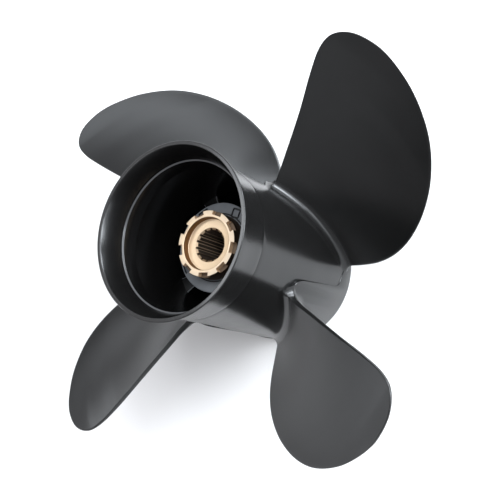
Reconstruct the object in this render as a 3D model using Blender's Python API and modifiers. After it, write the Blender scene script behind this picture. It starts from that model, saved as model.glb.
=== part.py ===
"""Four-blade propeller with exhaust through its hub, for a boat's outboard or stern drive.

The shaft lies along Z. The hub's front end, which meets the gearcase, is at Z = 0,
and the open exhaust end faces +Z. Seen from the exhaust end the propeller turns
clockwise to drive the boat ahead, so each blade leads at its smaller angle.
"""

import math

import bmesh
import bpy
import numpy as np

# Overall sizes, in metres. The diameter is 14 inches and the pitch 19 inches.
TIP_RADIUS = 0.1776
PITCH = 0.484
HUB_LENGTH = 0.172
GAP = 0.0003

# Hub barrel, a cast tube that narrows outside towards the flare ring. Inside, it is
# widest at both ends and has one straight bore where the ribs stand.
FRONT_RADIUS = 0.0600
MIDDLE_RADIUS = 0.0586
MIDDLE_HEIGHT = 0.067
WAIST_RADIUS = 0.0566
WAIST_HEIGHT = 0.112
SEAM_HEIGHT = 0.1405
SEAM_RADIUS = 0.0565
FRONT_MOUTH_RADIUS = 0.0566
RIB_BORE_RADIUS = 0.0502

# Flare ring at the exhaust end.
RIM_RADIUS = 0.0610
RIM_THICKNESS = 0.0026
RING_BORE_RADIUS = 0.0532
STEP_RADIUS = 0.0543
STEP_HEIGHT = 0.1542

# Inner hub: a round housing with a square socket, on four ribs that widen towards the barrel.
HOUSING_RADIUS = 0.0325
SOCKET_HALF_WIDTH = 0.0205
SOCKET_CORNER = 0.004
HOUSING_BOTTOM = 0.006
HOUSING_TOP = 0.1070
RIB_TURN = math.radians(48.0)
RIB_HALF_ANGLE = math.radians(7.4)
RIB_BOTTOM = 0.012
RIB_TOP = 0.0905
RIB_COUNT = 4

# Bush: the grey cushion between housing and sleeve, with a round flange behind the housing.
FLANGE_RADIUS = 0.0340
FLANGE_THICKNESS = 0.0047
BUSH_BOTTOM = 0.010
BUSH_BORE_RADIUS = 0.0178

# Splined brass sleeve with a castellated rear end.
SLEEVE_RADIUS = 0.0175
SLEEVE_BOTTOM = 0.003
SLEEVE_TOP = 0.1265
SLEEVE_HEAD_RADIUS = 0.0244
RECESS_RADIUS = 0.0194
RECESS_DEPTH = 0.0056
SPLINE_INNER_RADIUS = 0.0112
SPLINE_OUTER_RADIUS = 0.0127
SPLINE_COUNT = 15
SPLINE_TURN = math.radians(13.7)
SLOT_COUNT = 9
SLOT_TURN = math.radians(48.0)
SLOT_WIDTH = 0.0072
SLOT_DEPTH = 0.0040
SLOT_BOTTOM_RADIUS = 0.0218

# Blades. The faces follow a screw of constant pitch, and the reference line leans
# towards the exhaust end by a slope that grows towards the tip.
BLADE_COUNT = 4
BLADE_TURN = math.radians(52.6)
ROOT_REFERENCE_RADIUS = 0.060
ROOT_REFERENCE_HEIGHT = 0.0572
BARREL_CLEAR_RADIUS = 0.0585
RAKE_SLOPE = 0.26
RAKE_GROWTH = 1.25
# Offsets of the blade's edge: radius in millimetres and angle in degrees, read
# from the leading edge's root, around the tip, to the trailing edge's root.
EDGE_STATIONS = (
    (58, -33.0),
    (75, -33.8),
    (92, -33.5),
    (108, -31.4),
    (124, -27.4),
    (140, -21.7),
    (154, -15.2),
    (165, -8.2),
    (172.5, -0.5),
    (176.5, 6.5),
    (177.6, 12.0),
    (175, 17.6),
    (168, 21.7),
    (157, 23.6),
    (140, 24.0),
    (115, 23.8),
    (85, 23.9),
    (57, 23.6),
)
# The middle surface stands a little aft of the screw surface towards its trailing
# edge. Both lists give a radius and that offset, in millimetres.
LEADING_OFFSETS = ((58, -0.3), (150, -0.6), (168, 0.0), (178, 0.4))
TRAILING_OFFSETS = (
    (58, 1.0),
    (66, 2.2),
    (74, 3.0),
    (100, 2.8),
    (120, 2.2),
    (135, 1.5),
    (150, 0.7),
    (165, 0.0),
    (178, 0.4),
)
ROOT_THICKNESS = 0.0105
TIP_THICKNESS = 0.0030
EDGE_THICKNESS = 0.0030
SPAN_STEPS = 13
CHORD_STEPS = 14


def clear_scene():
    for item in list(bpy.data.objects):
        bpy.data.objects.remove(item, do_unlink=True)


def make_collection(name):
    collection = bpy.data.collections.new(name)
    bpy.context.scene.collection.children.link(collection)
    return collection


def make_material(name, colour, roughness, metallic):
    material = bpy.data.materials.new(name)
    material.use_nodes = True
    shader = material.node_tree.nodes["Principled BSDF"]
    shader.inputs["Base Color"].default_value = (colour[0], colour[1], colour[2], 1.0)
    shader.inputs["Roughness"].default_value = roughness
    shader.inputs["Metallic"].default_value = metallic
    return material


def add_object(name, mesh, collection, material=None):
    item = bpy.data.objects.new(name, mesh)
    collection.objects.link(item)
    if material is not None:
        mesh.materials.append(material)
    return item


def turned(name, profile, steps, collection, material=None, closed=True):
    """An outline in the XZ plane, listed down its outer side first, turned about Z.

    A closed outline makes a ring. One that isn't closed starts and ends on the axis
    and makes a solid disc.
    """
    mesh = bpy.data.meshes.new(name)
    points = [(radius, 0.0, height) for radius, height in profile]
    count = len(points)
    edges = [(i, (i + 1) % count) for i in range(count if closed else count - 1)]
    mesh.from_pydata(points, edges, [])
    item = add_object(name, mesh, collection, material)
    screw = item.modifiers.new("turn", "SCREW")
    screw.steps = steps
    screw.render_steps = steps
    screw.use_merge_vertices = True
    screw.merge_threshold = 0.00001
    return item


def rounded_square(half_width, corner, corner_steps):
    """Outline of a square with round corners, counter-clockwise from its first corner."""
    points = []
    for quarter in range(4):
        turn = quarter * math.pi / 2.0
        for step in range(corner_steps + 1):
            angle = step / corner_steps * math.pi / 2.0
            x = half_width - corner + corner * math.cos(angle)
            y = half_width - corner + corner * math.sin(angle)
            points.append((x * math.cos(turn) - y * math.sin(turn), x * math.sin(turn) + y * math.cos(turn)))
    return points


def prism(name, outline, bottom, top, collection, material=None):
    """A flat outline extruded upwards."""
    mesh = bpy.data.meshes.new(name)
    shape = bmesh.new()
    corners = [shape.verts.new((x, y, bottom)) for x, y in outline]
    face = shape.faces.new(corners)
    raised = bmesh.ops.extrude_face_region(shape, geom=[face])
    moved = [part for part in raised["geom"] if isinstance(part, bmesh.types.BMVert)]
    bmesh.ops.translate(shape, verts=moved, vec=(0.0, 0.0, top - bottom))
    bmesh.ops.recalc_face_normals(shape, faces=shape.faces)
    shape.to_mesh(mesh)
    shape.free()
    return add_object(name, mesh, collection, material)


def cut(item, cutter, operation="DIFFERENCE"):
    boolean = item.modifiers.new(operation.lower(), "BOOLEAN")
    boolean.operation = operation
    boolean.solver = "EXACT"
    boolean.object = cutter
    cutter.hide_render = True
    cutter.display_type = "WIRE"


def smooth(item):
    """Round faces shade smoothly and real edges stay sharp."""
    graph = bpy.context.evaluated_depsgraph_get()
    mesh = bpy.data.meshes.new_from_object(item.evaluated_get(graph))
    mesh.shade_smooth()
    mesh.set_sharp_from_angle(angle=math.radians(35.0))
    item.modifiers.clear()
    item.data = mesh


def barrel_radius(height):
    """Outer radius of the hub barrel at a height."""
    heights = (0.0, MIDDLE_HEIGHT, WAIST_HEIGHT, SEAM_HEIGHT)
    radii = (FRONT_RADIUS, MIDDLE_RADIUS, WAIST_RADIUS, SEAM_RADIUS)
    return float(np.interp(height, heights, radii))


def blade_height(radius, angle):
    """Height of the screw surface that the blade follows: pitch plus rake."""
    out = radius - ROOT_REFERENCE_RADIUS
    return ROOT_REFERENCE_HEIGHT + RAKE_SLOPE * out + RAKE_GROWTH * out * out + PITCH * angle / (2.0 * math.pi)


def edge_curve(samples):
    """Smooth curve through the edge stations, as radius and angle arrays."""
    flat = [(r * 0.001 * math.cos(math.radians(a)), r * 0.001 * math.sin(math.radians(a))) for r, a in EDGE_STATIONS]
    points = np.array([flat[0]] + flat + [flat[-1]])
    points[0] = 2.0 * points[1] - points[2]
    points[-1] = 2.0 * points[-2] - points[-3]
    curve = []
    for i in range(1, len(points) - 2):
        before, start, end, after = points[i - 1], points[i], points[i + 1], points[i + 2]
        for step in range(samples):
            t = step / samples
            curve.append(0.5 * (2.0 * start + (end - before) * t
                                + (2.0 * before - 5.0 * start + 4.0 * end - after) * t * t
                                + (3.0 * start - before - 3.0 * end + after) * t * t * t))
    curve.append(points[-2])
    curve = np.array(curve)
    return np.hypot(curve[:, 0], curve[:, 1]), np.arctan2(curve[:, 1], curve[:, 0])


def blade_sections():
    """Radius, leading angle and trailing angle of each section from root to tip."""
    radii, angles = edge_curve(12)
    tip = int(np.argmax(radii))
    sections = []
    root = BARREL_CLEAR_RADIUS
    reach = radii[tip] - 0.0004
    for step in range(SPAN_STEPS + 1):
        share = math.sin(step / SPAN_STEPS * math.pi / 2.0)
        radius = root + (reach - root) * share
        leading = float(np.interp(radius, radii[:tip + 1], angles[:tip + 1]))
        trailing = float(np.interp(radius, radii[tip:][::-1], angles[tip:][::-1]))
        sections.append((radius, leading, trailing))
    return sections


def listed(offsets, radius):
    """Value of an offset list at a radius, both in metres."""
    radii = [pair[0] * 0.001 for pair in offsets]
    values = [pair[1] * 0.001 for pair in offsets]
    return float(np.interp(radius, radii, values))


def middle_offset(radius, share):
    """Distance of the blade's middle surface from the screw surface, on its exhaust side."""
    leading = listed(LEADING_OFFSETS, radius)
    trailing = listed(TRAILING_OFFSETS, radius)
    return leading + (trailing - leading) * share ** 1.5


def surface_normal(radius, angle):
    """Unit normal of the screw surface, on its exhaust side."""
    out = radius - ROOT_REFERENCE_RADIUS
    slope_out = RAKE_SLOPE + 2.0 * RAKE_GROWTH * out
    slope_round = PITCH / (2.0 * math.pi) / radius
    along = np.array([math.cos(angle), math.sin(angle), 0.0])
    across = np.array([-math.sin(angle), math.cos(angle), 0.0])
    normal = np.array([0.0, 0.0, 1.0]) - slope_out * along - slope_round * across
    return normal / np.linalg.norm(normal)


def blade_mesh(name):
    """Loft of unlike sections: thick and wide at the hub, thin and narrow at the tip."""
    mesh = bpy.data.meshes.new(name)
    shape = bmesh.new()
    rings = []
    spine = []
    sections = blade_sections()
    for index, (radius, leading, trailing) in enumerate(sections):
        span = index / SPAN_STEPS
        middle = ROOT_THICKNESS + (TIP_THICKNESS - ROOT_THICKNESS) * math.sqrt(span)
        aft = []
        fore = []
        for step in range(CHORD_STEPS + 1):
            share = 0.5 - 0.5 * math.cos(step / CHORD_STEPS * math.pi)
            angle = leading + (trailing - leading) * share
            thickness = EDGE_THICKNESS + (middle - EDGE_THICKNESS) * 4.0 * share * (1.0 - share)
            centre = np.array([radius * math.cos(angle), radius * math.sin(angle), blade_height(radius, angle)])
            normal = surface_normal(radius, angle)
            centre = centre + normal * middle_offset(radius, share)
            if index == 0 and 0 < step < CHORD_STEPS:
                spine.append(shape.verts.new(seat_on_barrel(centre, radius, span)))
            for side, half in ((aft, 0.5), (fore, -0.5)):
                point = seat_on_barrel(centre + normal * thickness * half, radius, span)
                side.append(shape.verts.new(point))
        rings.append(aft + fore[::-1])
    count = len(rings[0])
    for lower, upper in zip(rings[:-1], rings[1:]):
        for i in range(count):
            j = (i + 1) % count
            shape.faces.new((lower[i], lower[j], upper[j], upper[i]))
    for i in range(CHORD_STEPS):
        ring = rings[-1]
        shape.faces.new((ring[i], ring[i + 1], ring[count - 2 - i], ring[count - 1 - i]))
    # The root end has a row of points along its middle, so that it follows the round barrel.
    ring = rings[0]
    last = CHORD_STEPS
    shape.faces.new((ring[0], ring[1], spine[0]))
    shape.faces.new((ring[count - 1], ring[0], spine[0]))
    shape.faces.new((ring[count - 2], ring[count - 1], spine[0]))
    shape.faces.new((ring[last - 1], ring[last], spine[-1]))
    shape.faces.new((ring[last], ring[last + 1], spine[-1]))
    shape.faces.new((ring[last + 1], ring[last + 2], spine[-1]))
    for i in range(1, CHORD_STEPS - 1):
        shape.faces.new((ring[i], ring[i + 1], spine[i], spine[i - 1]))
        shape.faces.new((spine[i - 1], spine[i], ring[count - 2 - i], ring[count - 1 - i]))
    bmesh.ops.recalc_face_normals(shape, faces=shape.faces)
    shape.to_mesh(mesh)
    shape.free()
    mesh.shade_smooth()
    mesh.set_sharp_from_angle(angle=math.radians(50.0))
    return mesh


def seat_on_barrel(point, radius, span):
    """Bends the inner sections so that the root lies on the barrel with the gap between."""
    reach = math.hypot(point[0], point[1])
    wanted = radius + (barrel_radius(point[2]) + GAP - BARREL_CLEAR_RADIUS) * (1.0 - span) ** 2
    return np.array([point[0] * wanted / reach, point[1] * wanted / reach, point[2]])


clear_scene()
parts = make_collection("propeller")
cutters = make_collection("cutters")

black_paint = make_material("black_paint", (0.022, 0.023, 0.026), 0.36, 0.0)
ring_black = make_material("ring_black", (0.026, 0.027, 0.030), 0.34, 0.0)
grey_bush = make_material("grey_bush", (0.13, 0.145, 0.155), 0.62, 0.0)
brass = make_material("brass", (0.78, 0.52, 0.31), 0.34, 1.0)

# Hub barrel: an open tube that the blades stand on and the exhaust leaves through.
barrel = turned("hub_barrel", (
    (SEAM_RADIUS, SEAM_HEIGHT),
    (WAIST_RADIUS, WAIST_HEIGHT),
    (MIDDLE_RADIUS, MIDDLE_HEIGHT),
    (FRONT_RADIUS, 0.001),
    (FRONT_RADIUS - 0.001, 0.0),
    (FRONT_MOUTH_RADIUS, 0.0),
    (0.0560, 0.0040),
    (RIB_BORE_RADIUS, RIB_BOTTOM - 0.0005),
    (RIB_BORE_RADIUS, RIB_TOP + 0.0005),
    (RING_BORE_RADIUS, SEAM_HEIGHT),
), 72, parts, black_paint)
smooth(barrel)

# Flare ring: a separate ring that widens to a rolled lip.
flare = turned("flare_ring", (
    (RIM_RADIUS - 0.0009, HUB_LENGTH),
    (RIM_RADIUS, HUB_LENGTH - 0.0010),
    (RIM_RADIUS - 0.0004, HUB_LENGTH - 0.0030),
    (0.0588, 0.1640),
    (0.0574, 0.1560),
    (0.0567, 0.1480),
    (SEAM_RADIUS, SEAM_HEIGHT + GAP),
    (RING_BORE_RADIUS, SEAM_HEIGHT + GAP),
    (RING_BORE_RADIUS, STEP_HEIGHT),
    (STEP_RADIUS, STEP_HEIGHT + 0.0002),
    (0.0556, 0.1595),
    (0.0573, 0.1665),
    (RIM_RADIUS - RIM_THICKNESS, HUB_LENGTH - 0.0010),
    (RIM_RADIUS - RIM_THICKNESS + 0.0006, HUB_LENGTH),
), 72, parts, ring_black)
smooth(flare)

# Inner hub: round housing with a square socket right through it.
housing = turned("inner_hub", (
    (0.0, HOUSING_TOP),
    (HOUSING_RADIUS - 0.0010, HOUSING_TOP),
    (HOUSING_RADIUS, HOUSING_TOP - 0.0010),
    (HOUSING_RADIUS, HOUSING_BOTTOM),
    (0.0, HOUSING_BOTTOM),
), 64, parts, black_paint, closed=False)
socket = prism("socket_cutter", rounded_square(SOCKET_HALF_WIDTH, SOCKET_CORNER, 5), HOUSING_BOTTOM - 0.01,
               HOUSING_TOP + 0.01, cutters)
# The socket's corners point at the ribs.
socket.rotation_euler = (0.0, 0.0, RIB_TURN + math.radians(45.0))
cut(housing, socket)
bpy.context.view_layer.update()
smooth(housing)

# Ribs: wedges from the housing to the barrel's straight bore, with two radial sides.
for index in range(RIB_COUNT):
    inner = HOUSING_RADIUS + GAP
    outer = RIB_BORE_RADIUS - GAP - 0.0001
    wedge = []
    for share in (-1.0, -0.5, 0.0, 0.5, 1.0):
        wedge.append((outer * math.cos(share * RIB_HALF_ANGLE), outer * math.sin(share * RIB_HALF_ANGLE)))
    for share in (1.0, 0.5, 0.0, -0.5, -1.0):
        wedge.append((inner * math.cos(share * RIB_HALF_ANGLE), inner * math.sin(share * RIB_HALF_ANGLE)))
    rib = prism("rib_%d" % (index + 1), wedge, RIB_BOTTOM, RIB_TOP, parts, black_paint)
    rib.rotation_euler = (0.0, 0.0, RIB_TURN + index * 2.0 * math.pi / RIB_COUNT)

# Bush: a square cushion inside the socket, with a round flange behind the housing.
bush = prism("bush", rounded_square(SOCKET_HALF_WIDTH - GAP, SOCKET_CORNER, 5), BUSH_BOTTOM,
             HOUSING_TOP + 0.001, parts, grey_bush)
bush.rotation_euler = (0.0, 0.0, RIB_TURN + math.radians(45.0))
flange = turned("flange", (
    (0.0, HOUSING_TOP + GAP + FLANGE_THICKNESS),
    (FLANGE_RADIUS - 0.0008, HOUSING_TOP + GAP + FLANGE_THICKNESS),
    (FLANGE_RADIUS, HOUSING_TOP + GAP + FLANGE_THICKNESS - 0.0008),
    (FLANGE_RADIUS, HOUSING_TOP + GAP),
    (0.0, HOUSING_TOP + GAP),
), 64, cutters, closed=False)
bush_bore = turned("bush_bore", (
    (0.0, 0.2),
    (BUSH_BORE_RADIUS, 0.2),
    (BUSH_BORE_RADIUS, -0.02),
    (0.0, -0.02),
), 48, cutters, closed=False)
cut(bush, flange, "UNION")
cut(bush, bush_bore)
bpy.context.view_layer.update()
smooth(bush)

# Splined sleeve: a brass tube with a recessed, castellated head and a splined bore.
head_bottom = HOUSING_TOP + GAP + FLANGE_THICKNESS + GAP
sleeve = turned("splined_sleeve", (
    (SLEEVE_HEAD_RADIUS - 0.0004, SLEEVE_TOP),
    (SLEEVE_HEAD_RADIUS, SLEEVE_TOP - 0.0004),
    (SLEEVE_HEAD_RADIUS, head_bottom),
    (SLEEVE_RADIUS, head_bottom),
    (SLEEVE_RADIUS, SLEEVE_BOTTOM),
    (SPLINE_INNER_RADIUS, SLEEVE_BOTTOM),
    (SPLINE_INNER_RADIUS, SLEEVE_TOP - RECESS_DEPTH),
    (RECESS_RADIUS, SLEEVE_TOP - RECESS_DEPTH),
    (RECESS_RADIUS, SLEEVE_TOP),
), 60, parts, brass)
mesh = bpy.data.meshes.new("spline_cutter")
shape = bmesh.new()
for index in range(SPLINE_COUNT):
    turn = SPLINE_TURN + index * 2.0 * math.pi / SPLINE_COUNT
    made = bmesh.ops.create_cube(shape, size=1.0)
    for vert in made["verts"]:
        outer = vert.co.x > 0.0
        half = 0.0011 if outer else 0.0016
        x = SPLINE_OUTER_RADIUS if outer else SPLINE_INNER_RADIUS - 0.0015
        y = math.copysign(half, vert.co.y)
        z = 0.16 if vert.co.z > 0.0 else -0.02
        vert.co = (x * math.cos(turn) - y * math.sin(turn), x * math.sin(turn) + y * math.cos(turn), z)
shape.to_mesh(mesh)
shape.free()
splines = add_object("spline_cutter", mesh, cutters)
mesh = bpy.data.meshes.new("slot_cutter")
shape = bmesh.new()
for index in range(SLOT_COUNT):
    turn = SLOT_TURN + index * 2.0 * math.pi / SLOT_COUNT
    made = bmesh.ops.create_cube(shape, size=1.0)
    for vert in made["verts"]:
        x = SLEEVE_HEAD_RADIUS + 0.004 if vert.co.x > 0.0 else SLOT_BOTTOM_RADIUS
        y = math.copysign(SLOT_WIDTH / 2.0, vert.co.y)
        z = SLEEVE_TOP + 0.004 if vert.co.z > 0.0 else SLEEVE_TOP - SLOT_DEPTH
        vert.co = (x * math.cos(turn) - y * math.sin(turn), x * math.sin(turn) + y * math.cos(turn), z)
shape.to_mesh(mesh)
shape.free()
slots = add_object("slot_cutter", mesh, cutters)
cut(sleeve, splines)
cut(sleeve, slots)
bpy.context.view_layer.update()
smooth(sleeve)

# Blades: one mesh, turned by a quarter for each blade.
blade_shape = blade_mesh("blade")
blade_shape.materials.append(black_paint)
for index in range(BLADE_COUNT):
    blade = bpy.data.objects.new("blade_%d" % (index + 1), blade_shape)
    parts.objects.link(blade)
    blade.rotation_euler = (0.0, 0.0, BLADE_TURN + index * 2.0 * math.pi / BLADE_COUNT)

bpy.context.view_layer.update()
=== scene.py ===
# %% [markdown]
# # A boat's propeller, dressed from its solids
#
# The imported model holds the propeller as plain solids: a hub barrel with four blades on it, a flare
# ring behind, and an inner hub that holds a grey bush and a splined brass sleeve. This lesson puts the
# real surfaces on them: blades that grow out of the hub in smooth fillets, a rolled lip, cut brass, and
# black paint with a fine grain. Z runs along the shaft towards the open exhaust end, and the hub's front
# end stands on the floor. Lengths are in metres, apart from the listed outlines and offsets, which give
# millimetres and degrees because they are easier to read so.

# %% Load the solids
import math

import bpy
import numpy as np
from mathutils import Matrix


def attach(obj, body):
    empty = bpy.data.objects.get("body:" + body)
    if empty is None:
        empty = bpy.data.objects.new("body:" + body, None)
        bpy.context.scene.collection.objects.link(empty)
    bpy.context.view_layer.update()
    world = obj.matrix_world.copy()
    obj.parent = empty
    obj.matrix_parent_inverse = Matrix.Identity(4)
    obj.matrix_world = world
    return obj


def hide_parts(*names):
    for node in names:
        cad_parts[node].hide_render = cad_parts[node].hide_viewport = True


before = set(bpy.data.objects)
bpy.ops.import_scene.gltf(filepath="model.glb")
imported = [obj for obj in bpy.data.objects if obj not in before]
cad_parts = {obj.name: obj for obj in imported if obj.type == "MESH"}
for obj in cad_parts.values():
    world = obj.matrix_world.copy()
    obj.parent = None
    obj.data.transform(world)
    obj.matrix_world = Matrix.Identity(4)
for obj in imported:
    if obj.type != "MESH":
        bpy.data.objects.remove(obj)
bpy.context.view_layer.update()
bpy.ops.object.select_all(action="DESELECT")
print("solids:", sorted(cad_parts))

# %% [markdown]
# The driving sizes are the ones that the solids were made with, apart from the edge stations next to
# the hub, which start a millimetre deeper here because the blade runs into the barrel. They are written
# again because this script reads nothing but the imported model. An edge station is a radius and an angle.
# An offset pair is a radius and how far the blade's middle stands off the screw surface there.

# %% Driving sizes
HUB_LENGTH = 0.172
SEAM_HEIGHT = 0.1405
RIM_RADIUS = 0.0610
PITCH = 0.484
RAKE_SLOPE = 0.26
RAKE_GROWTH = 1.25
REFERENCE_RADIUS = 0.060
REFERENCE_HEIGHT = 0.0572
BLADE_TURN = math.radians(52.6)
EDGE_STATIONS = (
    (57, -33.2), (75, -33.9), (92, -33.5), (108, -31.4), (124, -27.4), (140, -21.7),
    (154, -15.2), (165, -8.2), (172.5, -0.5), (176.5, 6.5), (177.6, 12.0), (175, 17.6),
    (168, 21.7), (157, 23.6), (140, 24.0), (115, 23.8), (85, 23.9), (56, 23.6),
)
LEADING_OFFSETS = ((58, -0.3), (150, -0.6), (168, 0.0), (178, 0.4))
TRAILING_OFFSETS = (
    (58, 1.0), (66, 2.2), (74, 3.0), (100, 2.8), (120, 2.2), (135, 1.5), (150, 0.7), (165, 0.0), (178, 0.4),
)
print("tip circle:", 2 * max(radius for radius, angle in EDGE_STATIONS), "mm")


# %% [markdown]
# A few habits keep modelling by operators safe. Everything is deselected before a primitive is added,
# because an operator acts on all that is selected. A finished piece has its modifiers applied and its
# object at the origin, so that its place is in its mesh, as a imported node's is. What repeats is made
# once and copied, each copy with its own mesh.

# %% Helpers for modelling
def fresh_start():
    if bpy.context.object and bpy.context.object.mode != "OBJECT":
        bpy.ops.object.mode_set(mode="OBJECT")
    bpy.ops.object.select_all(action="DESELECT")
    bpy.context.tool_settings.mesh_select_mode = (True, False, False)


def work_on(piece):
    fresh_start()
    piece.select_set(True)
    bpy.context.view_layer.objects.active = piece


def settle(piece):
    work_on(piece)
    bpy.ops.object.transform_apply(location=True, rotation=True, scale=True)


def make_whole(piece, merge=0.000004):
    """Merges doubled points and turns every face outwards."""
    work_on(piece)
    bpy.ops.object.mode_set(mode="EDIT")
    bpy.ops.mesh.select_all(action="SELECT")
    bpy.ops.mesh.remove_doubles(threshold=merge)
    bpy.ops.mesh.normals_make_consistent(inside=False)
    bpy.ops.object.mode_set(mode="OBJECT")


def shade(piece, angle=35.0):
    work_on(piece)
    bpy.ops.object.shade_smooth_by_angle(angle=math.radians(angle))


def copied(piece, turn):
    """A copy with its own mesh, turned around the shaft."""
    fresh_start()
    twin = piece.copy()
    twin.data = piece.data.copy()
    bpy.context.collection.objects.link(twin)
    twin.rotation_euler = (0, 0, turn)
    settle(twin)
    return twin


def finish_piece(piece, name, slot, *nodes):
    piece.name = name
    piece.data.name = name
    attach(piece, "root")
    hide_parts(*nodes)
    print(name, "has", len(piece.data.polygons), "faces")


# %% [markdown]
# ## The blade's form
#
# A propeller blade is a piece of a screw surface. Its height at an angle follows the pitch, and it leans
# towards the exhaust end as it goes outwards, which is called rake. A curve through a few edge stations
# gives the outline. The middle of the blade stands a little off the screw surface, by an offset that is
# listed for both edges, so the blade is slightly cupped towards its trailing edge.

# %% Screw surface and outline
POINTS_PER_STATION = 24
EDGE_SMOOTHINGS = 6


def blade_height(radius, angle):
    out = radius - REFERENCE_RADIUS
    return REFERENCE_HEIGHT + RAKE_SLOPE * out + RAKE_GROWTH * out * out + PITCH * angle / (2 * math.pi)


def surface_point(radius, angle):
    return np.stack([radius * np.cos(angle), radius * np.sin(angle), blade_height(radius, angle)], axis=-1)


def surface_normal(radius, angle):
    slope_out = RAKE_SLOPE + 2 * RAKE_GROWTH * (radius - REFERENCE_RADIUS)
    slope_round = PITCH / (2 * math.pi) / radius
    normal = np.stack([
        -slope_out * np.cos(angle) + slope_round * np.sin(angle),
        -slope_out * np.sin(angle) - slope_round * np.cos(angle),
        np.ones_like(angle),
    ], axis=-1)
    return normal / np.linalg.norm(normal, axis=-1, keepdims=True)


def listed(offsets, radius):
    """Value of an offset list, in millimetres, at a radius in metres."""
    return 0.001 * np.interp(radius * 1000.0, [pair[0] for pair in offsets], [pair[1] for pair in offsets])


def smooth_through(points, samples):
    """A curve that passes through all the points, with so many samples between two of them."""
    points = np.array(points, float)
    points = np.vstack([2 * points[0] - points[1], points, 2 * points[-1] - points[-2]])
    curve = []
    for i in range(1, len(points) - 2):
        a, b, c, d = points[i - 1:i + 3]
        for t in np.arange(samples) / samples:
            curve.append(0.5 * (2 * b + (c - a) * t + (2 * a - 5 * b + 4 * c - d) * t * t
                                + (3 * b - a - 3 * c + d) * t ** 3))
    curve.append(points[-2])
    return np.array(curve)


flat_edge = [
    (radius * 0.001 * math.cos(math.radians(angle)), radius * 0.001 * math.sin(math.radians(angle)))
    for radius, angle in EDGE_STATIONS
]
edge_line = smooth_through(flat_edge, POINTS_PER_STATION)
for repeat in range(EDGE_SMOOTHINGS):
    edge_line[1:-1] = (edge_line[:-2] + 2 * edge_line[1:-1] + edge_line[2:]) / 4
edge_radius = np.hypot(edge_line[:, 0], edge_line[:, 1])
edge_angle = np.arctan2(edge_line[:, 1], edge_line[:, 0])
edge_3d = surface_point(edge_radius, edge_angle)
tip_index = int(np.argmax(edge_radius))
print("outline points:", len(edge_line), "tip radius:", round(float(edge_radius[tip_index]), 4))


# %% [markdown]
# ## The blade's skin
#
# One flat grid is wrapped into a sleeve: its columns go around the blade's section, from the leading
# edge over the driving face to the trailing edge and back, and its rows go from the hub to the tip. Each
# row is one cut at a constant radius. Grid, wrap, merge is the quickest way to a clean loft, and each of
# the four blades gets its own copy.

# %% Blade sizes
FILLET = 0.0070
AFT_FILLET_SHARE = 0.86
FORE_CORNER_SHARE = 0.55
TRAILING_SKEW = 0.25
SUNK = 0.0012
ROOT_RADIUS = 0.0585
FRONT_SECTION_RADIUS = 0.0603
FOOT_FADE = 0.040
TRAILING_THICKNESS = 0.0035
LEADING_THICKNESS = 0.0015
THINNING = ((58, 1.0), (140, 1.0), (160, 0.70), (168, 0.50), (178, 0.40))
ROOT_BULGE = 0.0066
TIP_BULGE = 0.0004
FILLET_ROWS = 10
OUTER_ROWS = 76
MIDDLE_COLUMNS = 46
TIP_RADIUS = float(edge_radius[tip_index])


def barrel_radius(height):
    """Outer radius of the hub barrel: widest in front, nearly straight towards the seam."""
    heights = np.array([-0.01, 0.0, 0.030, 0.067, 0.095, 0.112, 0.128, 0.150])
    radii = np.array([0.0601, 0.0600, 0.0596, 0.0586, 0.0573, 0.0567, 0.0565, 0.0565])
    return np.interp(height, heights, radii)


print("barrel radius in front:", barrel_radius(0.0), "at the seam:", barrel_radius(SEAM_HEIGHT))


# %% [markdown]
# Rows are close together in the fillet at the hub and at the tip, and columns are close together at both
# edges, because that is where the surface turns. The leading edge is round, and the trailing edge is cut
# nearly square: the same formula gives both, with a small width and a high power for the square one.

# %% Rows, columns and the edge's rounding
ROUND_WIDTH = 0.0017
SQUARE_WIDTH = 0.0008
BLUNT_FROM_RADIUS = 0.160


def row_rises():
    """Height of each row above the barrel, from the sunk root to the tip."""
    quarter_steps = [k / FILLET_ROWS * math.pi / 2 for k in range(FILLET_ROWS + 1)]
    fillet_rows = [-SUNK, -SUNK] + [FILLET * (1 - math.cos(turn)) for turn in quarter_steps]
    reach = TIP_RADIUS - ROOT_RADIUS
    start = math.asin(FILLET / reach)
    turns = [start + (math.pi / 2 - start) * k / OUTER_ROWS for k in range(1, OUTER_ROWS + 1)]
    return np.array(fillet_rows + [reach * math.sin(turn) for turn in turns])


def column_places(chord):
    """Distances along one row from the leading edge."""
    near = np.array([0.0, 0.00004, 0.0002, 0.0005, 0.0010, 0.0018, 0.0030]) * min(1.0, chord / 0.012)
    middle = near[-1] + (chord - 2 * near[-1]) * np.linspace(0, 1, MIDDLE_COLUMNS + 1)[1:-1]
    return np.concatenate([near, middle, (chord - near)[::-1]])


def edge_rounding(distance, blunt):
    """Share of the full thickness at a distance from the edge."""
    width = ROUND_WIDTH + (SQUARE_WIDTH - ROUND_WIDTH) * blunt
    power = 2.0 + 1.4 * blunt
    return (1 - (1 - np.clip(distance / width, 0, 1)) ** power) ** (1 / power)


def nearest_on_line(points, line):
    """Shortest distance from each point to a line of short straight pieces, and the nearest piece."""
    starts, ahead = line[:-1], np.diff(line, axis=0)
    offset = points[:, None, :] - starts[None]
    share = np.clip((offset * ahead).sum(-1) / (ahead * ahead).sum(-1), 0.0, 1.0)
    distances = np.linalg.norm(offset - share[..., None] * ahead, axis=-1)
    return distances.min(axis=1), distances.argmin(axis=1)


edge_blunt = np.clip((np.degrees(edge_angle) + 6.0) / 18.0, 0, 1)
inner_part = edge_radius < BLUNT_FROM_RADIUS
edge_blunt[inner_part] = (np.arange(len(edge_angle)) > tip_index)[inner_part]
print("rows:", len(row_rises()), "columns:", 2 * len(column_places(0.1)) - 1)


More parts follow.
